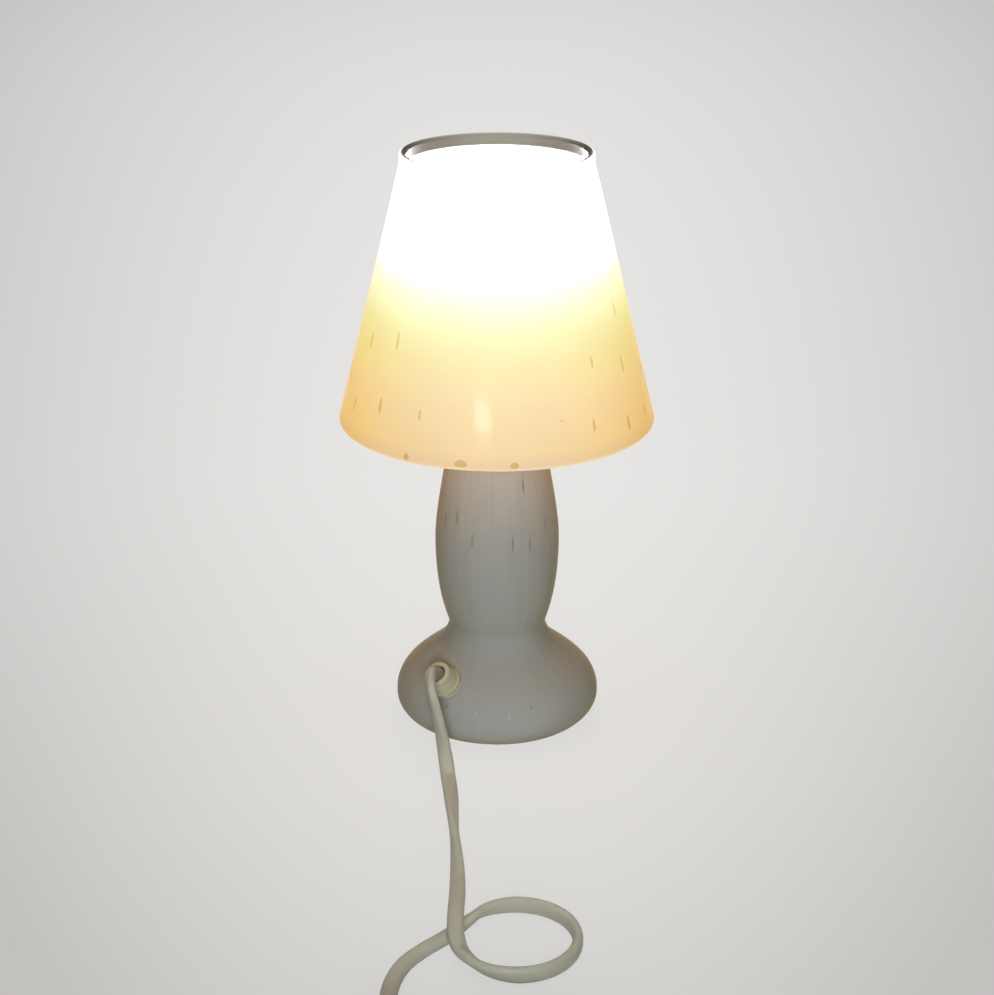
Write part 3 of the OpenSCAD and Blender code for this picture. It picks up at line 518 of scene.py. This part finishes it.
def mapped(mat, value, span, to=(0.0, 1.0)):
    """A value carried from one span to another and held at its ends."""
    return add(mat, "MapRange", {"Value": value, "From Min": span[0], "From Max": span[1],
                                 "To Min": to[0], "To Max": to[1]}).outputs["Result"]


def calculate(mat, operation, first, second):
    return add(mat, "Math", {0: first, 1: second}, operation=operation).outputs[0]


def flat_length(mat, x, y):
    """The length of a vector in the level plane."""
    flat = add(mat, "CombineXYZ", {"X": x, "Y": y}).outputs[0]
    return add(mat, "VectorMath", {0: flat}, operation="LENGTH").outputs["Value"]


def blend_colour(mat, amount, first, second):
    """A mix of two colours by an amount."""
    mix = add(mat, "Mix", {"Factor": amount, MIX_FIRST: first, MIX_SECOND: second}, data_type="RGBA")
    return mix.outputs[MIX_RESULT]


def bump(mat, height, strength, distance, soft=0.0):
    """A bumped normal; edges are rounded by the soft radius in metres."""
    node = add(mat, "Bump", {"Height": height, "Strength": strength, "Distance": distance})
    if soft:
        rounded = add(mat, "Bevel", {"Radius": soft}, samples=BEVEL_SAMPLES)
        feed(mat, node.inputs["Normal"], rounded.outputs["Normal"])
    return node.outputs["Normal"]


def speckled(name, colour, dark, roughness, grain, depth, scale=60.0, soft=0.0, **inputs):
    """A moulded or cast finish: two close tones in soft clouds, uneven gloss, a fine grain and soft edges."""
    mat, shader = principled(name, **inputs)
    spot, _, _, _ = place_axes(mat)
    clouds = mapped(mat, noise(mat, spot, scale), (0.35, 0.7))
    gloss = mapped(mat, noise(mat, spot, 3 * scale), (0.3, 0.7), (roughness - 0.05, roughness + 0.08))
    fine = noise(mat, spot, grain, detail=2.0)
    feed(mat, shader.inputs["Base Color"], blend_colour(mat, clouds, rgba(colour), rgba(dark)))
    feed(mat, shader.inputs["Roughness"], gloss)
    feed(mat, shader.inputs["Normal"], bump(mat, fine, strength=0.25, distance=depth, soft=soft))
    return mat


# Height in millimetres and colour of the lit shade, from the low edge up: its outside and its inside
GLOW_OUTSIDE = [
    (155, (0.84, 0.60, 0.25)), (157, (0.69, 0.36, 0.0)), (163, (0.77, 0.43, 0.0)), (182, (0.82, 0.50, 0.06)),
    (200, (0.85, 0.61, 0.09)), (212, (0.88, 0.74, 0.19)), (222, (1.0, 0.90, 0.39)), (232, (1.3, 1.2, 0.66)),
    (272, (4.2, 4.1, 3.7)),
]
GLOW_INSIDE = [
    (155, (1.18, 0.41, 0.05)), (190, (1.75, 0.76, 0.18)), (225, (3.1, 1.7, 0.75)), (250, (4.2, 3.4, 2.4)),
    (277, (14.0, 13.5, 12.5)),
]


def glow(mat, colours, gain, warmth):
    """The lamp's light in the glass by height, with slow clouds; gain dims it and warmth takes blue out."""
    spot, _, _, z = place_axes(mat)
    low, high = colours[0][0], colours[-1][0]
    ramp = add(mat, "ValToRGB", {"Fac": mapped(mat, z, (MM * low, MM * high))})
    stops = ramp.color_ramp.elements
    for i, (height, colour) in enumerate(colours):
        place = (height - low) / (high - low)
        stop = stops[i] if i < 2 else stops.new(place)
        stop.position = place
        stop.color = rgba([gain * c * w for c, w in zip(colour, (1, 1 - warmth / 3, 1 - warmth))])
    clouds = mapped(mat, noise(mat, spot, scale=22.0, detail=4.0), (0.25, 0.75), (0.95, 1.05))
    cloudy = add(mat, "VectorMath", {0: ramp.outputs["Color"], 1: clouds}, operation="MULTIPLY")
    return cloudy.outputs[0]


def make_lit_glass(name, colours, gain=1.0, warmth=0.0, body=(0.17, 0.255, 0.38)):
    """Opal glass: it scatters the blue of the light that falls on it and lets the lamp's orange through."""
    mat, shader = principled(name, Base_Color=rgba(body), Roughness=0.4, Specular_IOR_Level=0.05,
                             Coat_Weight=0.45, Coat_Roughness=0.07, Coat_IOR=1.5,
                             Coat_Tint=(1.0, 0.98, 0.92, 1), Emission_Strength=1.0)
    feed(mat, shader.inputs["Emission Color"], glow(mat, colours, gain, warmth))
    ripple = noise(mat, around(mat, turns=9.0, rise=30.0), scale=1.0, detail=2.0)
    feed(mat, shader.inputs["Normal"], bump(mat, ripple, strength=0.06, distance=0.0004))
    return mat


# What the base's coat lets through, seen square on
OPAL_TINT = (0.97, 0.90, 0.76)


def make_base_glass(name, colour, streak):
    """Opal glass that is cool seen square on and warmer along its edges, through a thin tinted coat."""
    mat, shader = principled(name, Coat_Weight=1.0, Coat_IOR=1.05, Coat_Roughness=0.3,
                             Coat_Tint=rgba(OPAL_TINT), Specular_IOR_Level=0.03, Subsurface_Weight=0.6,
                             Subsurface_Radius=(1.0, 0.6, 0.3), Subsurface_Scale=0.006)
    streaks = noise(mat, around(mat, turns=9.0, rise=14.0), scale=1.0)
    under = [rgba(c / t for c, t in zip(tone, OPAL_TINT)) for tone in (colour, streak)]
    feed(mat, shader.inputs["Base Color"], blend_colour(mat, mapped(mat, streaks, (0.4, 0.75)), *under))
    feed(mat, shader.inputs["Roughness"], mapped(mat, streaks, (0.3, 0.7), (0.36, 0.48)))
    feed(mat, shader.inputs["Normal"], bump(mat, streaks, strength=0.03, distance=0.0004))
    return mat


# The rim's outer side has a painted glow in its emission, and its body takes light away; the glow's depth is
# in millimetres
RIM_PAINTED_GLOW = 1.6
RIM_GLOW_COLOUR = (1.0, 0.97, 0.92)
RIM_TINT = (0.60, 0.585, 0.555)
RIM_DENSITY = 1650.0
RIM_GLOW_DEPTH = 0.3


def make_smoky_glass(name):
    """Clear glass with a smoky tint; its outer side has a painted glow that stands in for the lamp's light
    seen through it.
    """
    mat, shader = principled(name, Base_Color=(1, 1, 1, 1), Roughness=0.04, Transmission_Weight=1.0,
                             IOR=1.15, Emission_Strength=RIM_PAINTED_GLOW)
    spot, x, y, _ = place_axes(mat)
    # Painted glow: emission only in the outer part of the rim's wall
    lit = (MM * (rim_in_r + rim_round), MM * (SHADE_TOP_R - RIM_GLOW_DEPTH))
    outside = mapped(mat, flat_length(mat, x, y), lit)
    feed(mat, shader.inputs["Emission Color"], blend_colour(mat, outside, (0, 0, 0, 1), rgba(RIM_GLOW_COLOUR)))
    ripple = noise(mat, spot, scale=90.0)
    feed(mat, shader.inputs["Normal"], bump(mat, ripple, strength=0.05, distance=0.0003))
    fog = add(mat, "VolumeAbsorption", {"Color": rgba(RIM_TINT), "Density": RIM_DENSITY})
    feed(mat, mat.node_tree.nodes["Material Output"].inputs["Volume"], fog.outputs[0])
    return mat


def make_metal(name, colour, roughness, scratches):
    """Drawn or plated metal: streaked gloss and faint turning marks."""
    mat, shader = principled(name, Metallic=1.0, Base_Color=rgba(colour))
    spot, _, _, _ = place_axes(mat)
    gloss = mapped(mat, noise(mat, spot, scale=140.0), (0.3, 0.7), (roughness, roughness + 0.16))
    marks = noise(mat, around(mat, turns=2.0, rise=scratches), scale=1.0, detail=2.0)
    feed(mat, shader.inputs["Roughness"], gloss)
    feed(mat, shader.inputs["Normal"], bump(mat, marks, strength=0.08, distance=0.0002))
    return mat


FELT_DARK = (0.05, 0.05, 0.048)
FELT_LIGHT = (0.13, 0.13, 0.125)


def make_felt(name):
    """Pressed felt: dark fibres with a soft sheen."""
    mat, shader = principled(name, Roughness=0.95, Sheen_Weight=0.4, Sheen_Roughness=0.5)
    spot, _, _, _ = place_axes(mat)
    fibres = noise(mat, spot, scale=900.0, detail=4.0, roughness=0.7)
    feed(mat, shader.inputs["Base Color"], blend_colour(mat, fibres, rgba(FELT_DARK), rgba(FELT_LIGHT)))
    feed(mat, shader.inputs["Normal"], bump(mat, fibres, strength=0.6, distance=0.0004))
    return mat


# Heights between which the bulb's light turns from warm to white
BULB_BRIGHT_FROM = (0.222, 0.255)
BULB_LOW_LIGHT = (0.8, 0.42, 0.2)
BULB_TOP_LIGHT = (1.0, 0.95, 0.82)


def make_bulb_glass(name):
    """Frosted glass of the lit bulb, warmer towards its neck."""
    mat, shader = principled(name, Base_Color=(0.85, 0.82, 0.75, 1), Roughness=0.25, Coat_Weight=0.6,
                             Emission_Strength=6.0)
    _, _, _, z = place_axes(mat)
    bright = mapped(mat, z, BULB_BRIGHT_FROM)
    light = blend_colour(mat, bright, rgba(BULB_LOW_LIGHT), rgba(BULB_TOP_LIGHT))
    feed(mat, shader.inputs["Emission Color"], light)
    return mat


finishes = {
    "opal_base_glass": make_base_glass("opal_glass", (0.335, 0.33, 0.324), (0.318, 0.312, 0.305)),
    "lit_opal_glass": make_lit_glass("lit_glass", GLOW_OUTSIDE),
    "smoky_clear_glass": make_smoky_glass("smoky_glass"),
    "bulb_glass": make_bulb_glass("frosted_bulb"),
    "dark_felt": make_felt("felt"),
    "black_rubber": speckled("rubber_black", (0.025, 0.025, 0.025), (0.04, 0.04, 0.038),
                             roughness=0.6, grain=700, depth=0.0003),
    "zinc_steel": make_metal("zinc", (0.56, 0.57, 0.58), roughness=0.3, scratches=900.0),
    "solder": speckled("solder", (0.5, 0.5, 0.5), (0.4, 0.4, 0.41),
                       roughness=0.4, grain=300, depth=0.0004, Metallic=1.0),
    "lacquered_brass": make_metal("brass", (0.74, 0.56, 0.29), roughness=0.24, scratches=700.0),
    "contact_brass": make_metal("bare_brass", (0.66, 0.47, 0.19), roughness=0.36, scratches=500.0),
    "nickel_pins": make_metal("nickel", (0.66, 0.65, 0.62), roughness=0.2, scratches=800.0),
    "cream_rubber": speckled("rubber_cream", (0.62, 0.56, 0.42), (0.55, 0.49, 0.36),
                             roughness=0.55, grain=500, depth=0.0003),
    "cream_plastic": speckled("plastic_cream", (0.45, 0.42, 0.295), (0.385, 0.36, 0.25),
                              roughness=0.4, grain=400, depth=0.0002, soft=0.0005,
                              Subsurface_Weight=0.1, Subsurface_Scale=0.002),
    "cream_cord": speckled("cord_vinyl", (0.35, 0.335, 0.28), (0.32, 0.305, 0.255),
                           roughness=0.42, grain=350, depth=0.0001, scale=120.0,
                           Subsurface_Weight=0.08, Subsurface_Scale=0.002),
    "ivory_plastic": speckled("plastic_ivory", (0.62, 0.56, 0.43), (0.57, 0.51, 0.38),
                              roughness=0.34, grain=500, depth=0.0002, soft=0.0008,
                              Subsurface_Weight=0.1, Subsurface_Scale=0.002),
    "white_plastic": speckled("plastic_white", (0.74, 0.71, 0.64), (0.69, 0.66, 0.59),
                              roughness=0.3, grain=500, depth=0.0002, soft=0.0005),
    "ceramic": speckled("ceramic_white", (0.78, 0.76, 0.70), (0.72, 0.70, 0.64),
                        roughness=0.2, grain=250, depth=0.0003),
    "black_glass_bead": speckled("bead_black", (0.012, 0.012, 0.012), (0.02, 0.018, 0.016),
                                 roughness=0.1, grain=200, depth=0.0001),
}
inner_glow = make_lit_glass("lit_glass_inside", GLOW_INSIDE)
edge_glow = make_lit_glass("lit_glass_edge", GLOW_INSIDE, gain=0.14)
drop_glow = make_lit_glass("lit_glass_drop", GLOW_OUTSIDE, gain=0.82, warmth=0.2, body=(0.12, 0.16, 0.18))
drop_opal = make_base_glass("opal_glass_drop", (0.29, 0.27, 0.24), (0.25, 0.23, 0.20))
# Painted highlight colour, lighter than the base glass, for the glints on the foot
painted_glint_opal = make_base_glass("opal_glass_painted_glint", (0.43, 0.43, 0.42), (0.41, 0.41, 0.40))
SLOT_NODES = {
    "bulb_glass": ["bulb_globe"], "dark_felt": ["base_felt"],
    "black_rubber": ["bottom_gasket", "neck_gasket"],
    "zinc_steel": ["stem_tube", "bottom_washer", "holder_screws", "switch_screws"], "solder": ["bulb_tip"],
    "lacquered_brass": ["bottom_nut", "neck_cap", "neck_nut", "shade_carrier"],
    "contact_brass": ["holder_shell", "holder_contact", "switch_terminals"],
    "nickel_pins": ["bulb_shell", "plug_pins"], "cream_rubber": ["carrier_tips", "bush_gasket"],
    "cream_plastic": ["cord_bush", "bush_nut"],
    "ivory_plastic": ["holder_cap", "holder_body", "switch_base", "switch_cover", "plug_body"],
    "white_plastic": ["switch_rocker", "cord_tie"], "ceramic": ["holder_insert"],
    "black_glass_bead": ["bulb_insulator"],
}


def dress(obj, *mats):
    """Gives the object these materials and no others."""
    obj.data.materials.clear()
    for mat in mats:
        obj.data.materials.append(mat)


for slot, nodes in SLOT_NODES.items():
    for name in nodes:
        dress(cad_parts[name], finishes[slot])
for piece, mat in (
    (base_opal, finishes["opal_base_glass"]), (base_drops, drop_opal), (shade_drops, drop_glow),
    # The bore's dark sleeve is painted shade, dressed as black rubber
    (base_painted_glints, painted_glint_opal), (bush_shadow_sleeve, finishes["black_rubber"]),
    (shade_rim, finishes["smoky_clear_glass"]), (cord_near, finishes["cream_cord"]),
    (cord_far, finishes["cream_cord"]), (cord_inner, finishes["cream_cord"]),
):
    dress(piece, mat)
dress(shade_opal, finishes["lit_opal_glass"], inner_glow, edge_glow)
INSIDE_MATERIAL = 1
EDGE_MATERIAL = 2
for face in shade_opal.data.polygons:
    row = face.index % len(shade_profile)
    if row == len(shade_profile) - 1:
        face.material_index = EDGE_MATERIAL
    elif row >= inner_from:
        face.material_index = INSIDE_MATERIAL

# Floor, world and lights

FLOOR_HALF = 6000.0
FLOOR_DROP = -0.2
FLOOR_BRIGHT = (0.925, 0.91, 0.895)
FLOOR_DIM = (0.585, 0.57, 0.56)
# Metres along the floor where its painted light starts, is brightest and ends, and how dim it gets at either
# end
FLOOR_FRONT_Y = -1.5
FLOOR_PEAK_Y = 0.375
FLOOR_BACK_Y = 2.7
FLOOR_FRONT_DIM = 3.51
FLOOR_BACK_DIM = 0.75
# Half width of the painted bright pool in metres, at a near and a far place
FLOOR_REACH_Y = (-0.25, FLOOR_BACK_Y)
FLOOR_REACH = (0.183, 0.828)
FLOOR_EASE = 1.6
FLOOR_FULL_DIM = 1.9
FLOOR_SHINE = 0.85
WORLD_LIGHT = (0.035, 0.03, 0.026)
WORLD_SEEN = (0.50, 0.48, 0.45)


def seen_rays(owner):
    """One for rays that are seen, straight, in a reflection or through glass, and zero for the rest."""
    rays = add(owner, "LightPath").outputs
    mirrored = calculate(owner, "MAXIMUM", rays["Is Camera Ray"], rays["Is Glossy Ray"])
    return calculate(owner, "MAXIMUM", mirrored, rays["Is Transmission Ray"])


def make_floor():
    """A wide pale floor with a painted pool of light, brightest behind the lamp, that keeps a soft shadow."""
    h = FLOOR_HALF
    corners = [(-h, -h, FLOOR_DROP), (h, -h, FLOOR_DROP), (h, h, FLOOR_DROP), (-h, h, FLOOR_DROP)]
    floor = mesh_object("floor", corners, [(0, 1, 2, 3)])
    mat, shader = principled("studio_floor", Base_Color=(0.5, 0.495, 0.49, 1), Roughness=0.9)
    _, x, y, _ = place_axes(mat)
    front = mapped(mat, y, (FLOOR_FRONT_Y, FLOOR_PEAK_Y), (FLOOR_FRONT_DIM, 0))
    back = mapped(mat, y, (FLOOR_PEAK_Y, FLOOR_BACK_Y), (0, FLOOR_BACK_DIM))
    along = calculate(mat, "MAXIMUM", front, back)
    across = calculate(mat, "DIVIDE", x, mapped(mat, y, FLOOR_REACH_Y, FLOOR_REACH))
    eased = calculate(mat, "POWER", flat_length(mat, across, along), FLOOR_EASE)
    dim = mapped(mat, eased, (0, FLOOR_FULL_DIM))
    # Painted light: the seen tone falls from a bright pool behind the lamp to a dimmer floor
    tone = blend_colour(mat, dim, rgba(FLOOR_BRIGHT), rgba(FLOOR_DIM))
    shine = add(mat, "Emission", {"Color": tone, "Strength": 1.0}).outputs[0]
    part = calculate(mat, "MULTIPLY", seen_rays(mat), FLOOR_SHINE)
    mixed = add(mat, "MixShader", {0: part, 1: shader.outputs[0], 2: shine}).outputs[0]
    feed(mat, mat.node_tree.nodes["Material Output"].inputs["Surface"], mixed)
    dress(floor, mat)


def make_world():
    """Pale to the camera, in reflections and through glass, and a dim surround for the light itself."""
    world = bpy.data.worlds.new("studio")
    scene.world = world
    world.use_nodes = True
    tone = blend_colour(world, seen_rays(world), rgba(WORLD_LIGHT), rgba(WORLD_SEEN))
    feed(world, world.node_tree.nodes["Background"].inputs["Color"], tone)


def area_light(name, place, target, size, power, colour, glossy=False, spread=180.0):
    """A soft oval light at a place in millimetres, of that width and height in metres, aimed at a target;
    glossy says whether reflections show it."""
    data = bpy.data.lights.new(name, "AREA")
    data.shape = "ELLIPSE"
    data.size = size[0]
    data.size_y = size[1]
    data.energy = power
    data.color = colour
    data.spread = math.radians(spread)
    light = bpy.data.objects.new(name, data)
    scene.collection.objects.link(light)
    light.location = [MM * v for v in place]
    x, y, z = np.array(target, float) - np.array(place, float)
    light.rotation_euler = (math.atan2(math.hypot(x, y), -z), 0, math.atan2(-x, y))
    light.visible_glossy = glossy


make_floor()
make_world()
area_light("key", place=(0, -1400, 560), target=(0, 0, 80), size=(0.4, 0.4), power=15.0,
           colour=(0.90, 1.0, 0.97))
area_light("spark", place=(-232, -1332, 367), target=(-6, -69, 180), size=(0.36, 0.034), power=0.36,
           colour=(1.0, 0.97, 0.9), glossy=True)
area_light("overhead", place=(0, 300, 2200), target=(0, 200, 0), size=(2.5, 2.5), power=6.0,
           colour=(1.0, 0.92, 0.78))
area_light("cord", place=(0, -180, 800), target=(0, -130, 0), size=(0.2, 0.2), power=0.09,
           colour=(1.0, 0.97, 0.9), spread=30.0)
area_light("back", place=(0, 2400, 1000), target=(0, 0, 120), size=(0.8, 0.8), power=0.8,
           colour=(1.0, 0.92, 0.8), spread=30.0)

scene.view_settings.view_transform = "Standard"
